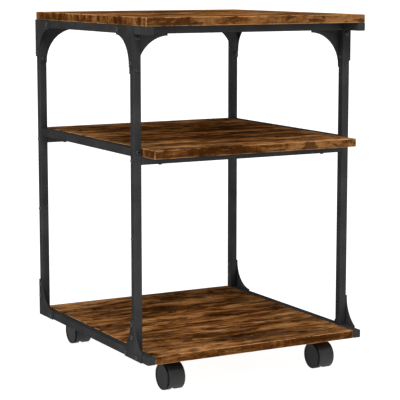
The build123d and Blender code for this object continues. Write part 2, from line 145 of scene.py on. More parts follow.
class Shader(Graph):
    """A material's graph, read on Object coordinates in metres."""

    def __init__(self, name: str) -> None:
        """Start a material.

        Args:
            name: The material's name.
        """
        self.material = bpy.data.materials.new(name)
        self.material.use_nodes = True
        super().__init__(self.material.node_tree)
        self.place = self.add("ShaderNodeTexCoord").outputs["Object"]

    def math(self, operation: str, first: Value, second: Value = None, clamp: bool = False) -> Socket:
        """Result of one Math node, kept from 0 to 1 if clamp is set."""
        node = self.add("ShaderNodeMath", {0: first, 1: second}, operation=operation, use_clamp=clamp)
        return node.outputs[0]

    def line(self, value: Socket, slope: float, start: Value) -> Socket:
        """Start plus slope times value."""
        return self.add("ShaderNodeMath", {0: value, 1: slope, 2: start}, operation="MULTIPLY_ADD").outputs[0]

    def stretched(self, place: Socket, scale: Triple, offset: Triple = (0, 0, 0)) -> Socket:
        """Coordinates times a scale, moved by an offset."""
        inputs = {"Vector": place, "Scale": scale, "Location": offset}
        return self.add("ShaderNodeMapping", inputs).outputs[0]

    def noise(self, place: Socket, scale: float | Triple, detail: float = 2.0, roughness: float = 0.5,
              offset: Triple = (0, 0, 0), distortion: float = 0.0, output: str = "Fac") -> Socket:
        """Soft noise with its own number of features per metre along each axis.

        Args:
            place: Coordinates to read.
            scale: Features per metre, either one number or one each for X, Y and Z.
            detail: Number of finer layers.
            roughness: Strength of the finer layers.
            offset: Where in the noise the piece lies.
            distortion: How far the noise bends itself.
            output: Which output of the node to read.

        Returns:
            The noise, around 0.5.
        """
        if isinstance(scale, (int, float)):
            scale = (scale, scale, scale)
        inputs = {"Vector": self.stretched(place, scale, offset), "Scale": 1.0, "Detail": detail,
                  "Roughness": roughness, "Distortion": distortion}
        return self.add("ShaderNodeTexNoise", inputs).outputs[output]

    def ramp(self, factor: Socket, stops: Iterable[tuple[float, Triple]]) -> Socket:
        """Colour ramp through the given stops.

        Args:
            factor: Where on the ramp to read.
            stops: Position and colour of each stop, in order.

        Returns:
            The colour's socket.
        """
        stops = list(stops)
        node = self.add("ShaderNodeValToRGB", {"Fac": factor})
        elements = node.color_ramp.elements
        while len(elements) < len(stops):
            elements.new(0.5)
        for element, (position, colour) in zip(elements, stops):
            element.position = position
            element.color = (*colour, 1.0)
        return node.outputs["Color"]

    def step(self, factor: Socket, low: float, high: float) -> Socket:
        """Smooth step from 0 at low to 1 at high."""
        inputs = {"Value": factor, "From Min": low, "From Max": high}
        return self.add("ShaderNodeMapRange", inputs, interpolation_type="SMOOTHSTEP").outputs[0]

    def blend(self, share: Socket, first: Value, second: Value) -> Socket:
        """Mix two colours.

        Args:
            share: Share of the second colour.
            first: First colour.
            second: Second colour.

        Returns:
            The colour's socket.
        """
        node = self.add("ShaderNodeMix", {0: share}, data_type="RGBA")
        for key, value in ((6, first), (7, second)):
            if isinstance(value, Socket):
                self.link(value, node.inputs[key])
            else:
                node.inputs[key].default_value = (*value, 1.0)
        return node.outputs[2]

    def finish(self, colour: Socket, roughness: Socket, height: Socket, relief: float, strength: float,
               **constants: Value) -> Material:
        """Close the graph with a Principled shader.

        Args:
            colour: Base colour.
            roughness: Roughness.
            height: Height of the surface, from 0 to 1.
            relief: What a height of 1 is in metres.
            strength: Strength of the bump.
            **constants: Values for the shader's own sockets, with _ for a space.

        Returns:
            The finished material.
        """
        bump = self.add("ShaderNodeBump", {"Height": height, "Distance": relief, "Strength": strength})
        inputs = {"Base Color": colour, "Roughness": roughness, "Normal": bump.outputs[0]}
        inputs |= {name.replace("_", " "): value for name, value in constants.items()}
        shader = self.add("ShaderNodeBsdfPrincipled", inputs)
        self.add("ShaderNodeOutputMaterial", {"Surface": shader.outputs[0]})
        return self.material


# ------------------------------------------------------------------ finishes
@dataclass(frozen=True)
class SmokedOak:
    """Smoked oak laminate: long dark and light streaks, with short bars on the edges, painted shade on the
    upright edges and a painted highlight on the eased corners.

    A grain is a number of features per metre along X, Y and Z. The boards' grain runs along X.
    """

    name: str
    offset: Triple
    char: Triple = (0.015, 0.0045, 0.0009)
    dark: Triple = (0.050, 0.0160, 0.0034)
    heart: Triple = (0.120, 0.0430, 0.0098)
    amber: Triple = (0.240, 0.0950, 0.0250)
    pale: Triple = (0.430, 0.2050, 0.0740)
    # painted highlight: the pale colour laid along the eased corners
    highlight_tone: Triple = (0.560, 0.2900, 0.1200)
    tones: tuple[float, ...] = (0.49, 0.56, 0.61, 0.67, 0.77)
    tone_share: float = 0.62
    drift_grain: Triple = (6, 15, 15)
    plank_grain: Triple = (5.5, 24, 22)
    streak_grain: Triple = (14, 78, 86)
    fibre_grain: Triple = (45, 700, 600)
    bar_grain: Triple = (120, 120, 16)
    fleck_grain: Triple = (40, 260, 200)
    scorches: tuple[tuple[Triple, Triple], ...] = (((26, 70, 80), (11, 4, 6)), ((15, 44, 50), (4, 9, 2)))
    scorch_from: float = 0.55
    scorch_fade: float = 0.05
    scorch_share: float = 0.80
    fleck_share: float = 0.45
    fibre_share: float = 0.35
    bar_share: float = 0.12
    side_bar_share: float = 0.16
    # painted shade: how far the upright edges of the boards are darkened towards the dark tone
    edge_painted_shade: float = 0.50
    # painted highlight: strength and patch size of the pale line on the eased corners
    highlight_gain: float = 3.4
    highlight_patches: float = 38
    sway: float = 0.030
    relief: float = 0.0004
    bump: float = 0.30
    rough: float = 0.70
    rough_fall: float = -0.25

    def material(self) -> Material:
        """Build the laminate.

        Returns:
            The material.
        """
        s = Shader(self.name)
        place = s.stretched(s.place, (1, 1, 1), self.offset)
        x, y, z = self._facing(s)
        on_edge = s.step(z, 0.36, 0.04)
        on_side = s.step(x, 0.25, 0.81)
        drift = s.noise(place, self.drift_grain, detail=2.5, output="Color")
        centred = s.add("ShaderNodeVectorMath", {0: drift, 1: (0.5, 0.5, 0.5)}, operation="SUBTRACT")
        swayed = {0: centred.outputs[0], 1: (0, self.sway, self.sway / 3), 2: place}
        along = s.add("ShaderNodeVectorMath", swayed, operation="MULTIPLY_ADD").outputs[0]

        planks = s.noise(along, self.plank_grain, detail=4.0, offset=(3, 7, 1))
        streaks = s.noise(along, self.streak_grain, detail=5.0, roughness=0.60)
        fibres = s.noise(along, self.fibre_grain, offset=(1, 2, 9))
        bars = s.step(s.noise(place, self.bar_grain, 4.0, 0.65, offset=(5, 1, 2)), 0.30, 0.70)
        share = s.math("MULTIPLY", on_edge, s.line(on_side, self.side_bar_share, self.bar_share))
        streaks = s.add("ShaderNodeMix", {0: share, 2: streaks, 3: bars}, data_type="FLOAT").outputs[0]

        tone = s.line(planks, self.tone_share, s.math("MULTIPLY", streaks, self.tone_share))
        shades = (self.char, self.dark, self.heart, self.amber, self.pale)
        colour = s.ramp(tone, zip(self.tones, shades))
        for grain, offset in self.scorches:
            patches = s.noise(along, grain, 5.0, 0.62, offset, distortion=0.5)
            scorched = s.step(patches, self.scorch_from, self.scorch_from + self.scorch_fade)
            colour = s.blend(s.math("MULTIPLY", scorched, self.scorch_share), colour, self.char)
        flecks = s.step(s.noise(along, self.fleck_grain, offset=(2, 13, 5)), 0.62, 0.76)
        colour = s.blend(s.math("MULTIPLY", flecks, self.fleck_share), colour, self.pale)
        colour = s.blend(s.math("MULTIPLY", s.step(fibres, 0.60, 0.36), self.fibre_share), colour, self.dark)
        # painted shade: the upright edges of the boards are blended towards the dark tone
        colour = s.blend(s.math("MULTIPLY", on_edge, self.edge_painted_shade), colour, self.dark)
        # painted highlight: a pale line along the eased corners of the boards
        colour = s.blend(self._eased(s, place, x, y, z), colour, self.highlight_tone)

        roughness = s.line(streaks, self.rough_fall, self.rough)
        height = s.line(fibres, 0.6, s.math("MULTIPLY", streaks, 0.8))
        return s.finish(colour, roughness, height, self.relief, self.bump, Specular_IOR_Level=0.0)

    @staticmethod
    def _facing(s: Shader) -> tuple[Socket, Socket, Socket]:
        """Squares of the surface direction along X, Y and Z."""
        smooth = s.add("ShaderNodeNewGeometry").outputs["Normal"]
        square = s.add("ShaderNodeVectorMath", {0: smooth, 1: smooth}, operation="MULTIPLY")
        parts = s.add("ShaderNodeSeparateXYZ", {0: square.outputs[0]})
        return parts.outputs["X"], parts.outputs["Y"], parts.outputs["Z"]

    def _eased(self, s: Shader, place: Socket, x: Socket, y: Socket, z: Socket) -> Socket:
        """Share of the painted highlight: a pale line on the eased corners between faces.

        Args:
            s: The material's graph.
            place: Coordinates to read.
            x: Square of the surface direction along X.
            y: The same along Y.
            z: The same along Z.

        Returns:
            The share, which comes and goes along the corner.
        """
        flat = s.math("MULTIPLY", z, s.math("SUBTRACT", 1.0, z))
        upright = s.math("MULTIPLY", x, y)
        corner = s.math("MULTIPLY", s.math("ADD", flat, upright), self.highlight_gain, clamp=True)
        patches = s.noise(place, self.highlight_patches, detail=3.0, roughness=0.6, offset=(8, 3, 1))
        return s.math("MULTIPLY", corner, s.step(patches, 0.36, 0.56))


@dataclass(frozen=True)
class PowderCoat:
    """Matte powder coat with a fine orange-peel texture."""

    name: str = "black_powder_coat"
    colour: Triple = (0.0330, 0.0330, 0.0334)
    thin_colour: Triple = (0.0430, 0.0430, 0.0434)
    edge_tint: tuple[float, float, float, float] = (0.12, 0.12, 0.12, 1.0)
    metallic: float = 0.45
    clouds_per_metre: float = 22
    grains_per_metre: float = 1500
    speck_share: float = 0.25
    rough: float = 0.46
    rough_rise: float = 0.16
    relief: float = 0.0002
    bump: float = 0.22

    def material(self) -> Material:
        """Build the coat.

        Returns:
            The material.
        """
        s = Shader(self.name)
        clouds = s.noise(s.place, self.clouds_per_metre, detail=3.0)
        grains = s.noise(s.place, self.grains_per_metre, detail=1.0)
        colour = s.blend(s.step(clouds, 0.35, 0.68), self.colour, self.thin_colour)
        speck = s.math("MULTIPLY", s.step(grains, 0.58, 0.75), self.speck_share)
        colour = s.blend(speck, colour, self.thin_colour)
        roughness = s.line(clouds, self.rough_rise, self.rough)
        return s.finish(colour, roughness, grains, self.relief, self.bump, Specular_IOR_Level=0.0,
                        Metallic=self.metallic, Specular_Tint=self.edge_tint)


@dataclass(frozen=True)
class MouldedNylon:
    """Black moulded nylon with a fine spark-eroded texture and faint scuffs."""

    name: str
    colour: Triple = (0.0130, 0.0130, 0.0134)
    scuff: Triple = (0.0220, 0.0220, 0.0224)
    rough: float = 0.36
    rough_rise: float = 0.22
    specular: float = 0.30
    clouds_per_metre: float = 60
    sparks_per_metre: float = 2200
    relief: float = 0.0001
    bump: float = 0.18

    def material(self) -> Material:
        """Build the plastic.

        Returns:
            The material.
        """
        s = Shader(self.name)
        clouds = s.noise(s.place, self.clouds_per_metre, detail=4.0, roughness=0.6)
        sparks = s.noise(s.place, self.sparks_per_metre, detail=1.0)
        colour = s.blend(s.step(clouds, 0.50, 0.72), self.colour, self.scuff)
        roughness = s.line(clouds, self.rough_rise, self.rough)
        return s.finish(colour, roughness, sparks, self.relief, self.bump, Specular_IOR_Level=self.specular)


@dataclass(frozen=True)
class PlatedSteel:
    """Plated steel, from bright zinc to black, with faint tool marks."""

    name: str
    colour: Triple
    shade: Triple
    metallic: float
    rough: float
    rough_rise: float = 0.20
    clouds_per_metre: float = 140
    mark_grain: Triple = (2600, 500, 500)
    relief: float = 0.00005
    bump: float = 0.15

    def material(self) -> Material:
        """Build the plating.

        Returns:
            The material.
        """
        s = Shader(self.name)
        clouds = s.noise(s.place, self.clouds_per_metre, detail=3.0)
        marks = s.noise(s.place, self.mark_grain, detail=1.0)
        colour = s.blend(s.step(clouds, 0.38, 0.66), self.colour, self.shade)
        roughness = s.line(marks, self.rough_rise, self.rough)
        return s.finish(colour, roughness, marks, self.relief, self.bump, Metallic=self.metallic)


@dataclass(frozen=True)
class PaperSweep:
    """Plain pale floor."""

    name: str = "pale_floor"
    colour: Triple = (0.25, 0.25, 0.25)
    paler: float = 1.01
    glow: float = 0.96
    glow_colour: tuple[float, float, float, float] = (1.0, 1.0, 1.0, 1.0)
    mottles_per_metre: float = 3
    rough: float = 0.4
    relief: float = 0.0001
    bump: float = 0.05
    specular: float = 0.1

    def material(self) -> Material:
        """Build the floor's finish.

        Returns:
            The material.
        """
        s = Shader(self.name)
        mottle = s.noise(s.place, self.mottles_per_metre)
        colour = s.blend(mottle, self.colour, tuple(part * self.paler for part in self.colour))
        roughness = s.math("ADD", mottle, self.rough)
        return s.finish(colour, roughness, mottle, self.relief, self.bump, Specular_IOR_Level=self.specular,
                        Emission_Color=self.glow_colour, Emission_Strength=self.glow)


# ------------------------------------------------------------------ mesh tools
def new_object(name: str, mesh: bpy.types.Mesh) -> Piece:
    """Put a mesh in the scene as an object at the origin."""
    made = bpy.data.objects.new(name, mesh)
    bpy.context.scene.collection.objects.link(made)
    return made


def from_bmesh(name: str, work: bmesh.types.BMesh) -> Piece:
    """Object from a bmesh, with its faces turned outwards.

    Args:
        name: The object's name.
        work: The mesh, which is freed.

    Returns:
        The object.
    """
    bmesh.ops.recalc_face_normals(work, faces=work.faces)
    mesh = bpy.data.meshes.new(name)
    work.to_mesh(mesh)
    work.free()
    return new_object(name, mesh)


def settle(piece: Piece) -> Piece:
    """Turn a piece's modifiers into plain mesh.

    Args:
        piece: The object, whose modifiers are removed.

    Returns:
        The same object.
    """
    depsgraph = bpy.context.evaluated_depsgraph_get()
    mesh = bpy.data.meshes.new_from_object(piece.evaluated_get(depsgraph), depsgraph=depsgraph)
    mesh.name = piece.name
    piece.modifiers.clear()
    piece.data = mesh
    return piece


def bevelled(piece: Piece, width: float, segments: int = 2) -> Piece:
    """Ease the sharp edges of a piece.

    Args:
        piece: The object.
        width: Width of the bevel in metres.
        segments: Number of steps round the bevel.

    Returns:
        The same object, settled.
    """
    bevel = piece.modifiers.new("eased", "BEVEL")
    bevel.width = width
    bevel.segments = segments
    bevel.limit_method = "ANGLE"
    bevel.angle_limit = math.radians(BEVEL_FROM_DEGREES)
    bevel.use_clamp_overlap = True
    return settle(piece)


def smoothed(piece: Piece, sharp_degrees: float = 35.0) -> Piece:
    """Shade a piece smooth, with creases where it turns sharply."""
    piece.data.shade_smooth()
    piece.data.set_sharp_from_angle(angle=math.radians(sharp_degrees))
    return piece


def merged_copy(node: str, name: str) -> Piece:
    """A closed copy of a CAD node, for a shape that is right but needs eased edges.

    Args:
        node: The CAD node.
        name: Name of the copy.

    Returns:
        The copy.
    """
    work = bmesh.new()
    work.from_mesh(frame["nodes"][node].data)
    bmesh.ops.remove_doubles(work, verts=work.verts, dist=WELD)
    flat = math.radians(FLAT_DEGREES)
    bmesh.ops.dissolve_limit(work, angle_limit=flat, verts=work.verts, edges=work.edges)
    mesh = bpy.data.meshes.new(name)
    work.to_mesh(mesh)
    work.free()
    return new_object(name, mesh)


def dress(piece: Piece, material: Material) -> None:
    """Give a piece its finish."""
    if piece.material_slots:
        for slot in piece.material_slots:
            slot.material = material
    else:
        piece.data.materials.append(material)


def dress_node(node: str, material: Material) -> None:
    """Give a CAD node its finish."""
    dress(frame["nodes"][node], material)
    LOG.info("node  %-32s %s", node, material.name)


def hand_over(piece: Piece, body: str, material: Material,
              nodes: Iterable[str] = ()) -> None:
    """Dress a piece and register it with the frame.

    Args:
        piece: The finished object.
        body: The CAD body that it rides on.
        material: Its finish.
        nodes: The CAD nodes that it stands for.
    """
    dress(piece, material)
    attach(piece, body)
    if nodes:
        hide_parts(*nodes)
    LOG.info("piece %-32s on %-28s %6d faces", piece.name, body, len(piece.data.polygons))


def body_of(node: str) -> str:
    """The CAD body that a node rides on."""
    return frame["nodes"][node]["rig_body"]


def arc(centre: tuple[float, float], radius: float, start: float, end: float, steps: int) -> Outline:
    """Points on an arc from one angle to another in degrees, both ends included."""
    angles = [math.radians(start + (end - start) * step / steps) for step in range(steps + 1)]
    return [(centre[0] + radius * math.cos(a), centre[1] + radius * math.sin(a)) for a in angles]


# ------------------------------------------------------------------ boards
@dataclass
class Board:
    """One laminated board: a panel, and an edge band glued round its four edges."""

    node: str
    finish: SmokedOak
    band: float = 2.0 * MM
    ease: float = 1.2 * MM
    corner: float = 1.6 * MM
    groove: float = 0.12 * MM
    arc_steps: int = 5
    band_crease: float = 50.0

    def build(self) -> None:
        """Make the panel and the band and hand them over."""
        low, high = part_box(self.node)
        material = self.finish.material()
        panel = smoothed(bevelled(self._panel(low, high), self.groove))
        hand_over(panel, body_of(self.node), material, [self.node])
        band = smoothed(self._band(low, high), self.band_crease)
        hand_over(band, body_of(self.node), material)

    def _panel(self, low: Vector, high: Vector) -> Piece:
        """Slab inside the edge band.

        Args:
            low: Lowest corner of the board.
            high: Highest corner of the board.

        Returns:
            The slab.
        """
        inset = Vector((self.band, self.band, 0.0))
        size = high - low - 2 * inset
        middle = (low + high) / 2
        work = bmesh.new()
        made = bmesh.ops.create_cube(work, size=1.0)
        bmesh.ops.scale(work, vec=size, verts=made["verts"])
        bmesh.ops.translate(work, vec=middle, verts=made["verts"])
        return from_bmesh(f"{self.node}_panel", work)

    def _band(self, low: Vector, high: Vector) -> Piece:
        """Ring round the panel, with its outer corners eased.

        Args:
            low: Lowest corner of the board.
            high: Highest corner of the board.

        Returns:
            The ring.
        """
        inner_gap = self.groove / 2
        depth = self.band - inner_gap
        section = [(depth, low.z), (depth, high.z)]
        radius = min(self.ease, depth)
        section += arc_section(high.z - radius, radius, 90, 0, self.arc_steps)
        section += arc_section(low.z + radius, radius, 0, -90, self.arc_steps)
        outline = self._outline(low, high)
        work = bmesh.new()
        rings = [
            [work.verts.new((x - nx * inward, y - ny * inward, z)) for inward, z in section]
            for x, y, nx, ny in outline
        ]
        for here, there in zip(rings, rings[1:] + rings[:1]):
            for step in range(len(section)):
                after = (step + 1) % len(section)
                work.faces.new((here[step], there[step], there[after], here[after]))
        return from_bmesh(f"{self.node}_edge_band", work)

    def _outline(self, low: Vector, high: Vector) -> list[tuple[float, float, float, float]]:
        """Rounded rectangle round the board, with the outward direction at each point.

        Args:
            low: Lowest corner of the board.
            high: Highest corner of the board.

        Returns:
            Place and direction of each point.
        """
        points = []
        corners = ((high.x, high.y, 0), (low.x, high.y, 90), (low.x, low.y, 180), (high.x, low.y, 270))
        for x, y, start in corners:
            cx = x - math.copysign(self.corner, x)
            cy = y - math.copysign(self.corner, y)
            for step in range(self.arc_steps + 1):
                angle = math.radians(start + 90 * step / self.arc_steps)
                nx, ny = math.cos(angle), math.sin(angle)
                points.append((cx + self.corner * nx, cy + self.corner * ny, nx, ny))
        return points


def arc_section(centre_z: float, radius: float, start: float, end: float, steps: int) -> Outline:
    """Quarter arc of a band's section, as (distance inwards, z)."""
    return [(radius - out, z) for out, z in arc((0.0, centre_z), radius, start, end, steps)]


# ------------------------------------------------------------------ square tube
@dataclass
class TubeFrame:
    """Posts, rails and crossbars: rounded square tube, made by one geometry tree."""

    nodes: Sequence[str]
    corner: float = 1.6 * MM
    corner_steps: int = 5
    end_ease: float = 0.3 * MM

    def build(self, material: Material) -> None:
        """Make every tube and hand it over.

        Args:
            material: The powder coat.
        """
        tree = self._tree()
        for node in self.nodes:
            low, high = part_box(node)
            size = high - low
            along = max(range(3), key=lambda axis: size[axis])
            width = min(size)
            start, end = (low + high) / 2, (low + high) / 2
            start[along], end[along] = low[along], high[along]
            piece = new_object(f"{node}_tube", bpy.data.meshes.new(node))
            sizes = {"Start": start, "End": end, "Width": width, "Corner Radius": self.corner,
                     "Corner Steps": self.corner_steps, "Material": material}
            apply_tree(piece, tree, sizes)
            smoothed(bevelled(piece, self.end_ease))
            hand_over(piece, body_of(node), material, [node])

    @staticmethod
    def _tree() -> NodeTree:
        """Geometry tree of a straight square tube with closed ends.

        Returns:
            The tree.
        """
        tree, g, given = new_tree("square_tube", {
            "Start": "Vector", "End": "Vector", "Width": "Float",
            "Corner Radius": "Float", "Corner Steps": "Int", "Material": "Material",
        })
        line = g.add("GeometryNodeCurvePrimitiveLine", {"Start": given["Start"], "End": given["End"]})
        square = g.add("GeometryNodeCurvePrimitiveQuadrilateral",
                       {"Width": given["Width"], "Height": given["Width"]})
        rounded = g.add("GeometryNodeFilletCurve", {
            "Curve": square.outputs[0], "Radius": given["Corner Radius"], "Count": given["Corner Steps"],
        }, mode="POLY")
        swept = g.add("GeometryNodeCurveToMesh", {
            "Curve": line.outputs[0], "Profile Curve": rounded.outputs[0], "Fill Caps": True,
        })
        close_tree(g, swept.outputs[0], given["Material"])
        return tree


def new_tree(name: str, inputs: dict[str, str]) -> tuple[NodeTree, Graph, dict[str, Socket]]:
    """Start a geometry tree with named inputs.

    Args:
        name: The tree's name.
        inputs: Name of each input, and its socket type without the word NodeSocket.

    Returns:
        The tree, its graph and its input sockets by name.
    """
    tree = bpy.data.node_groups.new(name, "GeometryNodeTree")
    tree.interface.new_socket("Geometry", in_out="INPUT", socket_type="NodeSocketGeometry")
    for label, kind in inputs.items():
        tree.interface.new_socket(label, in_out="INPUT", socket_type=f"NodeSocket{kind}")
    tree.interface.new_socket("Geometry", in_out="OUTPUT", socket_type="NodeSocketGeometry")
    g = Graph(tree)
    start = g.add("NodeGroupInput")
    return tree, g, {socket.name: socket for socket in start.outputs if socket.name}


def close_tree(g: Graph, geometry: Socket, material: Socket) -> None:
    """End a geometry tree: real instances, finish, output."""
    real = g.add("GeometryNodeRealizeInstances", {0: geometry})
    dressed = g.add("GeometryNodeSetMaterial", {"Geometry": real.outputs[0], "Material": material})
    g.add("NodeGroupOutput", {0: dressed.outputs[0]})


def apply_tree(piece: Piece, tree: NodeTree, sizes: dict[str, object]) -> None:
    """Run a geometry tree on a piece and keep the plain mesh.

    Args:
        piece: The object.
        tree: The geometry tree.
        sizes: Value of each named input.
    """
    modifier = piece.modifiers.new(tree.name, "NODES")
    modifier.node_group = tree
    for item in tree.interface.items_tree:
        if item.in_out == "INPUT" and item.name in sizes:
            modifier[item.identifier] = sizes[item.name]
    settle(piece)


# ------------------------------------------------------------------ gussets
@dataclass
class Gussets:
    """Laser-cut corner plates: the CAD shape with its cut edges eased."""

    nodes: Sequence[str]
    ease: float = 0.35 * MM
    crease: float = 30.0

    def build(self, material: Material) -> None:
        """Make every plate and hand it over.

        Args:
            material: The powder coat.
        """
        for node in self.nodes:
            piece = smoothed(bevelled(merged_copy(node, f"{node}_plate"), self.ease), self.crease)
            hand_over(piece, body_of(node), material, [node])


# ------------------------------------------------------------------ fixings
@dataclass(frozen=True)
class Seat:
    """Place of one fixing, read from the CAD model."""

    point: Vector
    drive: Vector
    reach: float


def loose_parts(node: str) -> list[list[Vector]]:
    """Split a CAD node into its separate solids.

    Args:
        node: The CAD node.

    Returns:
        The corner points of each solid, in order of place.
    """
    work = bmesh.new()
    work.from_mesh(frame["nodes"][node].data)
    bmesh.ops.remove_doubles(work, verts=work.verts, dist=WELD)
    waiting, parts = set(work.verts), []
    while waiting:
        edge_of_part = [waiting.pop()]
        points = []
        while edge_of_part:
            vert = edge_of_part.pop()
            points.append(vert.co.copy())
            near = {other for link in vert.link_edges for other in link.verts} & waiting
            waiting -= near
            edge_of_part.extend(near)
        parts.append(sorted(points, key=tuple))
    work.free()
    return sorted(parts, key=lambda points: tuple(points[0]))


def odd_axis(size: Vector) -> int:
    """The axis along which a turned part's size differs from its two like sizes."""
    order = sorted(range(3), key=lambda axis: size[axis])
    small, middle, large = (size[axis] for axis in order)
    return order[0] if middle - small > large - middle else order[2]


def seat_of(points: list[Vector], head_height: float) -> Seat:
    """Find a headed fixing's seat from its corner points.

    Args:
        points: The solid's corner points.
        head_height: Height of the head.

    Returns:
        The point under the head, the way it is driven and the length of its shank.
    """
    low = Vector(tuple(min(p[axis] for p in points) for axis in range(3)))
    high = Vector(tuple(max(p[axis] for p in points) for axis in range(3)))
    along = odd_axis(high - low)
    middle = (low + high) / 2

    def girth(point: Vector) -> float:
        """Distance from the fixing's axis."""
        return math.hypot(*(point[axis] - middle[axis] for axis in range(3) if axis != along))

    widest = max(points, key=girth)
    drive = Vector((0, 0, 0))
    drive[along] = 1.0 if widest[along] < middle[along] else -1.0
    head_end = low[along] if drive[along] > 0 else high[along]
    seat = middle.copy()
    seat[along] = head_end + drive[along] * head_height
    return Seat(seat, drive, (high - low)[along] - head_height)


@dataclass
class HeadedFixings:
    """Bolts or screws with one kind of head, placed by one geometry tree."""

    node: str
    recess: Recess
    head_radius: float
    head_height: float
    shank_radius: float
    recess_width: float
    recess_depth: float
    flat_share: float = 0.45
    arm_share: float = 4.2
    sides: int = 28
    shank_sides: int = 12
    dome_steps: int = 5
    crease: float = 40.0

    def build(self, material: Material) -> None:
        """Make every fixing of this kind as one piece.

        Args:
            material: The plating.
        """
        seats = [seat_of(points, self.head_height) for points in loose_parts(self.node)]
        piece = seat_points(f"{self.node}_set", seats)
        sizes = {"Head Radius": self.head_radius, "Head Height": self.head_height,
                 "Flat Share": self.flat_share, "Shank Radius": self.shank_radius,
                 "Recess Width": self.recess_width, "Recess Depth": self.recess_depth,
                 "Sides": self.sides, "Dome Steps": self.dome_steps, "Material": material}
        apply_tree(piece, self._tree(), sizes)
        smoothed(piece, self.crease)
        hand_over(piece, body_of(self.node), material, [self.node])

    def _tree(self) -> NodeTree:
        """Geometry tree: a domed head with its recess, and a shank, on every seat.

        Returns:
            The tree.
        """
        tree, g, given = new_tree(f"{self.recess.value}_fixing", {
            "Head Radius": "Float", "Head Height": "Float", "Flat Share": "Float",
            "Shank Radius": "Float", "Recess Width": "Float", "Recess Depth": "Float",
            "Sides": "Int", "Dome Steps": "Int", "Material": "Material",
        })
        head = self._domed_head(g, given)
        cut = g.add("GeometryNodeMeshBoolean", {"Mesh 1": head}, operation="DIFFERENCE")
        for cutter in self._cutters(g, given):
            g.link(cutter, cut.inputs["Mesh 2"])
        bar = g.add("GeometryNodeMeshCylinder", {
            "Vertices": self.shank_sides, "Radius": given["Shank Radius"], "Depth": 1.0,
        })
        shank = g.add("GeometryNodeTransform", {"Geometry": bar.outputs[0], "Translation": (0, 0, -0.5)})
        reach = g.add("GeometryNodeInputNamedAttribute", {"Name": "reach"}, data_type="FLOAT")
        longer = g.add("ShaderNodeCombineXYZ", {"X": 1.0, "Y": 1.0, "Z": reach.outputs[0]})
        heads = on_seats(g, given["Geometry"], cut.outputs[0])
        shanks = on_seats(g, given["Geometry"], shank.outputs[0], longer.outputs[0])
        joined = g.add("GeometryNodeJoinGeometry", {0: heads})
        g.link(shanks, joined.inputs[0])
        close_tree(g, joined.outputs[0], given["Material"])
        return tree

    @staticmethod
    def _domed_head(g: Graph, given: dict[str, Socket]) -> Socket:
        """Cylinder whose radius shrinks slowly at the seat and fast at the top.

        Args:
            g: The tree's graph.
            given: The tree's inputs.

        Returns:
            The head's mesh, with its seat at z = 0.
        """
        barrel = g.add("GeometryNodeMeshCylinder", {
            "Vertices": given["Sides"], "Side Segments": given["Dome Steps"],
            "Radius": given["Head Radius"], "Depth": given["Head Height"],
        })
        place = g.add("ShaderNodeSeparateXYZ", {0: g.add("GeometryNodeInputPosition").outputs[0]})

        def math_node(operation: str, first: Value, second: Value = None) -> Socket:
            """One arithmetic step in the tree."""
            return g.add("ShaderNodeMath", {0: first, 1: second}, operation=operation).outputs[0]

        share = math_node("ADD", math_node("DIVIDE", place.outputs["Z"], given["Head Height"]), 0.5)
        lost = math_node("SUBTRACT", 1.0, math_node("MULTIPLY", given["Flat Share"], given["Flat Share"]))
        cubed = math_node("MULTIPLY", math_node("MULTIPLY", share, share), share)
        shrink = math_node("SQRT", math_node("SUBTRACT", 1.0, math_node("MULTIPLY", cubed, lost)))
        domed = g.add("ShaderNodeCombineXYZ", {
            "X": math_node("MULTIPLY", place.outputs["X"], shrink),
            "Y": math_node("MULTIPLY", place.outputs["Y"], shrink),
            "Z": math_node("MULTIPLY", share, given["Head Height"]),
        })
        inputs = {"Geometry": barrel.outputs[0], "Position": domed.outputs[0]}
        return g.add("GeometryNodeSetPosition", inputs).outputs[0]

    def _cutters(self, g: Graph, given: dict[str, Socket]) -> list[Socket]:
        """Solids that cut the recess into the top of the head.

        Args:
            g: The tree's graph.
            given: The tree's inputs.

        Returns:
            The solids.
        """
        depth = g.add("ShaderNodeMath", {0: given["Recess Depth"], 1: 2.0}, operation="MULTIPLY").outputs[0]
        lift = g.add("ShaderNodeCombineXYZ", {"Z": given["Head Height"]}).outputs[0]
        if self.recess is Recess.HEXAGON:
            round_over_flats = 1 / math.sqrt(3)
            radius = g.add("ShaderNodeMath", {0: given["Recess Width"], 1: round_over_flats},
                           operation="MULTIPLY").outputs[0]
            solids = [g.add("GeometryNodeMeshCylinder", {"Vertices": 6, "Radius": radius, "Depth": depth})]
        else:
            arm = g.add("ShaderNodeMath", {0: given["Recess Width"], 1: self.arm_share},
                        operation="MULTIPLY").outputs[0]
            long_x = g.add("ShaderNodeCombineXYZ", {"X": arm, "Y": given["Recess Width"], "Z": depth})
            long_y = g.add("ShaderNodeCombineXYZ", {"X": given["Recess Width"], "Y": arm, "Z": depth})
            solids = [g.add("GeometryNodeMeshCube", {"Size": size.outputs[0]}) for size in (long_x, long_y)]
        return [
            g.add("GeometryNodeTransform", {"Geometry": solid.outputs[0], "Translation": lift}).outputs[0]
            for solid in solids
        ]


def on_seats(g: Graph, seats: Socket, item: Socket, scale: Value = None) -> Socket:
    """Put an item on every seat, with its +Z against the way the fixing is driven.

    Args:
        g: The tree's graph.
        seats: The points.
        item: The item's mesh.
        scale: Scale of each copy.

    Returns:
        The instances.
    """
    drive = g.add("GeometryNodeInputNamedAttribute", {"Name": "drive"}, data_type="FLOAT_VECTOR")
    outwards = g.add("ShaderNodeVectorMath", {0: drive.outputs[0], "Scale": -1.0}, operation="SCALE")
    turn = g.add("FunctionNodeAlignRotationToVector", {"Vector": outwards.outputs[0]}, axis="Z")
    return g.add("GeometryNodeInstanceOnPoints", {
        "Points": seats, "Instance": item, "Rotation": turn.outputs[0], "Scale": scale,
    }).outputs[0]


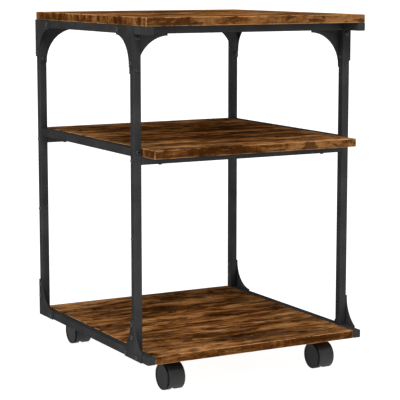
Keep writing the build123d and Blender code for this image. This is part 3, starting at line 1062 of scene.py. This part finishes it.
def seat_points(name: str, seats: Sequence[Seat]) -> Piece:
    """Points for the geometry trees to put fixings on.

    Args:
        name: Name of the piece that the points become.
        seats: The places.

    Returns:
        The object.
    """
    mesh = bpy.data.meshes.new(name)
    mesh.from_pydata([seat.point for seat in seats], [], [])
    drive = mesh.attributes.new("drive", "FLOAT_VECTOR", "POINT")
    drive.data.foreach_set("vector", [part for seat in seats for part in seat.drive])
    reach = mesh.attributes.new("reach", "FLOAT", "POINT")
    reach.data.foreach_set("value", [seat.reach for seat in seats])
    return new_object(name, mesh)


# ------------------------------------------------------------------ casters
@dataclass
class Caster:
    """Twin-wheel caster: swivelling hood, axle, mounting plate and two turned wheels."""

    name: str
    nylon: Material
    tread: Material
    zinc: Material
    steps: int = 96
    crease: float = 30.0
    edge: float = 1.0 * MM
    edge_steps: int = 6
    inner_edge: float = 2.0 * MM
    inner_edge_steps: int = 4
    lip: float = 0.4 * MM
    rim: float = 2.4 * MM
    dish: float = 0.6 * MM
    shell: float = 4.0 * MM
    hub: float = 7.0 * MM
    recess: float = 8.0 * MM
    bore: float = 3.08 * MM
    bore_cover: float = 1.3 * MM
    flange: float = 2.2 * MM
    groove: float = 1.8 * MM
    groove_depth: float = 1.8 * MM

    def build(self) -> None:
        """Make the wheels and the hood, and dress the plate and the axle."""
        for side in Side:
            self._wheel(side)
        node = f"{self.name}_hood"
        hood = smoothed(merged_copy(node, f"{node}_moulding"), self.crease)
        hand_over(hood, body_of(node), self.nylon, [node])
        dress_node(f"{self.name}_plate", self.zinc)
        dress_node(f"{self.name}_axle", self.zinc)

    def _wheel(self, side: Side) -> None:
        """Turn one wheel and hand it over.

        Args:
            side: Which of the two wheels.
        """
        node = f"{self.name}_{side.name.lower()}_wheel"
        low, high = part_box(node)
        axle = (low + high) / 2
        radius = (high.z - low.z) / 2
        width = high.x - low.x
        inner_x = high.x if side is Side.LEFT else low.x
        section = [(inner_x + side.value * x, r) for x, r in self._section(radius, width)]
        wheel = smoothed(self._turned(f"{node}_moulding", section, axle), self.crease)
        hand_over(wheel, body_of(node), self.tread, [node])

    def _section(self, radius: float, width: float) -> Outline:
        """Half section of a wheel, from the middle of its outer face to the end of its bore.

        Args:
            radius: The wheel's radius.
            width: The wheel's width.

        Returns:
            Distance from the inner face and radius of each point.
        """
        lip, face = self.lip, width - self.dish
        rim_radius = radius - self.edge - self.rim
        outline = [(face, 0.0), (face, rim_radius / 2), (face, rim_radius - lip), (width, rim_radius)]
        outline += arc((width - self.edge, radius - self.edge), self.edge, 0, 90, self.edge_steps)
        flank, floor = width - self.flange, radius - self.groove_depth
        outline += [(flank, radius), (flank, floor)]
        outline += [(flank - self.groove, floor), (flank - self.groove, radius)]
        inner_middle = (self.inner_edge, radius - self.inner_edge)
        outline += arc(inner_middle, self.inner_edge, 90, 180, self.inner_edge_steps)
        hollow_radius = radius - self.shell
        outline += [(0.0, hollow_radius + lip), (lip, hollow_radius), (self.recess, hollow_radius - lip)]
        outline += [(self.recess, self.hub), (lip, self.hub - lip / 2), (0.0, self.hub - lip)]
        bore_end = face - self.bore_cover
        return outline + [(0.0, self.bore), (bore_end, self.bore), (bore_end, 0.0)]

    def _turned(self, name: str, section: Outline, axle: Vector) -> Piece:
        """Surface of revolution round a line along X.

        Args:
            name: The object's name.
            section: Place along X and radius of each point, with both ends on the axis.
            axle: A point on the axis.

        Returns:
            The closed surface.
        """
        work = bmesh.new()
        angles = [math.tau * step / self.steps for step in range(self.steps)]
        rings = []
        for x, r in section:
            if r < WELD:
                rings.append([work.verts.new((x, axle.y, axle.z))])
            else:
                rings.append([
                    work.verts.new((x, axle.y + r * math.cos(a), axle.z + r * math.sin(a))) for a in angles
                ])
        for here, there in zip(rings, rings[1:]):
            for step in range(self.steps):
                after = (step + 1) % self.steps
                corners = [here[step % len(here)], there[step % len(there)],
                           there[after % len(there)], here[after % len(here)]]
                work.faces.new(dict.fromkeys(corners))
        return from_bmesh(name, work)


# ------------------------------------------------------------------ studio
@dataclass(frozen=True)
class Sun:
    """Distant soft light, with its place in degrees: from the front towards the right, and up."""

    name: str
    azimuth: float
    height: float
    strength: float
    spread: float

    def build(self) -> None:
        """Hang the light."""
        data = bpy.data.lights.new(self.name, "SUN")
        data.energy = self.strength
        data.angle = math.radians(self.spread)
        lamp = bpy.data.objects.new(self.name, data)
        bpy.context.scene.collection.objects.link(lamp)
        lamp.rotation_euler = (math.radians(90 - self.height), 0.0, math.radians(self.azimuth))


@dataclass
class Studio:
    """Pale floor, soft daylight tent and the camera."""

    azimuth: float = 28.761
    look_down: float = 8.39
    lens: float = 137.14
    sensor_width: float = 36.0
    camera_place: Triple = (-1.3935, -2.5591, 0.7358)
    tent: float = 0.60
    backdrop: float = 1.0
    suns: tuple[Sun, ...] = (
        Sun("key", azimuth=-20, height=45, strength=1.5, spread=14),
        Sun("left_fill", azimuth=-80, height=24, strength=1.2, spread=40),
        Sun("overhead", azimuth=-20, height=80, strength=0.5, spread=20),
    )
    floor_radius: float = 130.0
    floor_sides: int = 64
    floor_drop: float = 0.2 * MM

    def build(self) -> None:
        """Make the camera, the lights and the floor."""
        self._camera()
        self._lights()
        self._floor()
        bpy.context.scene.view_settings.view_transform = "Standard"

    def _camera(self) -> None:
        """Camera at the front left, looking slightly down."""
        data = bpy.data.cameras.new("camera")
        data.lens = self.lens
        data.sensor_width = self.sensor_width
        data.clip_end = 4 * self.floor_radius
        camera = bpy.data.objects.new("camera", data)
        bpy.context.scene.collection.objects.link(camera)
        camera.location = self.camera_place
        camera.rotation_euler = (math.radians(90 - self.look_down), 0.0, -math.radians(self.azimuth))
        bpy.context.scene.camera = camera

    def _lights(self) -> None:
        """White tent, which the camera sees a little brighter than it shines, and the suns."""
        world = bpy.data.worlds.new("tent")
        world.use_nodes = True
        g = Graph(world.node_tree)
        seen = g.add("ShaderNodeLightPath").outputs["Is Camera Ray"]
        inputs = {"Value": seen, "To Min": self.tent, "To Max": self.backdrop}
        strength = g.add("ShaderNodeMapRange", inputs).outputs[0]
        tent = g.add("ShaderNodeBackground", {"Color": (1, 1, 1, 1), "Strength": strength})
        g.add("ShaderNodeOutputWorld", {"Surface": tent.outputs[0]})
        bpy.context.scene.world = world
        for sun in self.suns:
            sun.build()

    def _floor(self) -> None:
        """Round floor just under the wheels."""
        work = bmesh.new()
        bmesh.ops.create_circle(work, cap_ends=True, segments=self.floor_sides, radius=self.floor_radius)
        bmesh.ops.translate(work, vec=(0, 0, -self.floor_drop), verts=work.verts)
        floor = from_bmesh("floor", work)
        if floor.data.polygons[0].normal.z < 0:
            floor.data.flip_normals()
        dress(floor, PaperSweep().material())


def main() -> None:
    """Build and dress the stand, then the studio."""
    logging.basicConfig(level=logging.INFO, format="%(message)s")
    nodes = sorted(frame["nodes"])
    coat = PowderCoat().material()
    nylon = MouldedNylon("caster_nylon").material()
    tread = MouldedNylon("wheel_nylon", colour=(0.0085, 0.0085, 0.0088), scuff=(0.0130, 0.0130, 0.0134),
                         rough=0.42, specular=0.12).material()
    cap = MouldedNylon("cap_plastic", scuff=(0.016, 0.016, 0.0162), rough=0.48).material()
    zinc = PlatedSteel("bright_zinc", colour=(0.62, 0.63, 0.65), shade=(0.45, 0.46, 0.48),
                       metallic=1.0, rough=0.28).material()
    black = PlatedSteel("black_plating", colour=(0.008, 0.008, 0.009), shade=(0.014, 0.014, 0.015),
                        metallic=0.2, rough=0.30).material()

    for number, level in enumerate(("top", "middle", "bottom")):
        finish = SmokedOak(f"smoked_oak_{level}", offset=(0.31 * number, 0.17 * number, 0.9 * number))
        Board(f"{level}_board", finish).build()
    tube_ends = ("_rail", "_crossbar", "_post")
    TubeFrame([node for node in nodes if node.endswith(tube_ends)]).build(coat)
    Gussets([node for node in nodes if node.endswith("_gusset")]).build(coat)
    HeadedFixings("frame_bolts", Recess.HEXAGON, head_radius=4.5 * MM, head_height=2.6 * MM,
                  shank_radius=2.5 * MM, recess_width=3.0 * MM, recess_depth=1.6 * MM).build(black)
    for node, material in (("board_screws", black), ("caster_screws", zinc)):
        HeadedFixings(node, Recess.CROSS, head_radius=3.8 * MM, head_height=2.0 * MM, shank_radius=1.9 * MM,
                      recess_width=1.0 * MM, recess_depth=1.0 * MM, flat_share=0.6).build(material)
    for end in End:
        for side in Side:
            Caster(f"{end.name.lower()}_{side.name.lower()}_caster", nylon, tread, zinc).build()
    dress_node("rail_end_caps", cap)
    dress_node("post_sleeves", zinc)
    dress_node("caster_kingpins", zinc)
    Studio().build()


if __name__ == "__main__":
    main()
